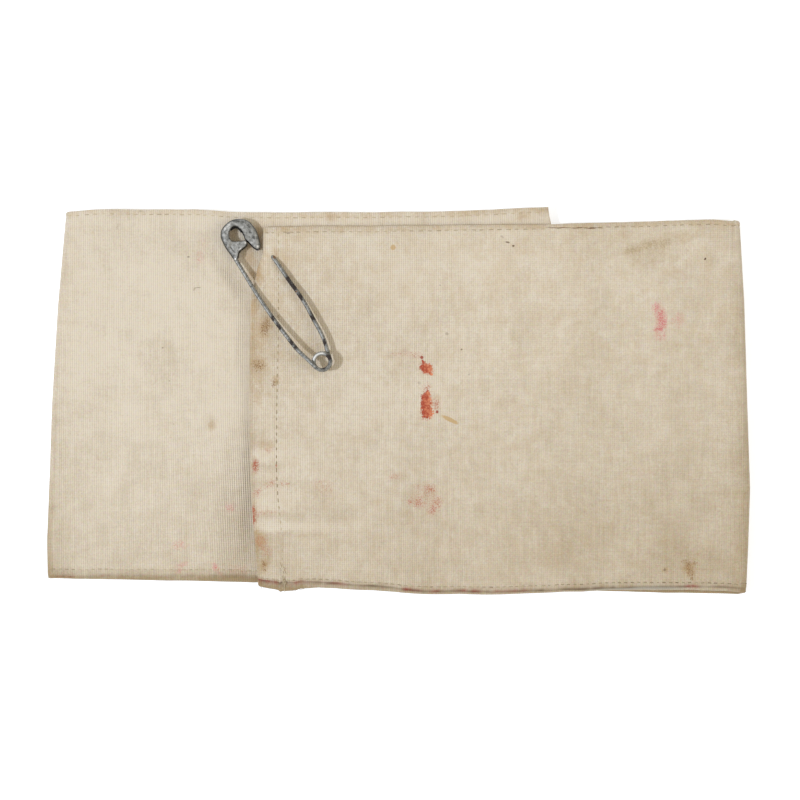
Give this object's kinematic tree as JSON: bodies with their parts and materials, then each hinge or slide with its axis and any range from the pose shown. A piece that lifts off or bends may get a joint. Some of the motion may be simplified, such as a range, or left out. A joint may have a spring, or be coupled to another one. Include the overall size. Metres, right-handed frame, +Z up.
{
  "type": "armband",
  "caption": "Hemmed ribbed cotton armband lying pressed flat as a closed loop, its overlapped end held by an open safety pin.",
  "frame": {"origin": "middle of the underside, on the surface that the band lies on", "axes": "+X along the folded band from the left fold to the right fold, +Y across the strip, +Z up through the layers"},
  "size_m": [0.1938, 0.1068, 0.0082],
  "materials": {
    "cotton": "undyed ribbed cotton, soiled and stained",
    "pin_steel": "dull plated steel wire with rust spots",
    "cap_steel": "dull plated steel sheet, pressed"
  },
  "bodies": {
    "root": {"band": "cotton", "pin_wire": "pin_steel", "pin_cap": "cap_steel"}
  },
  "joints": []
}
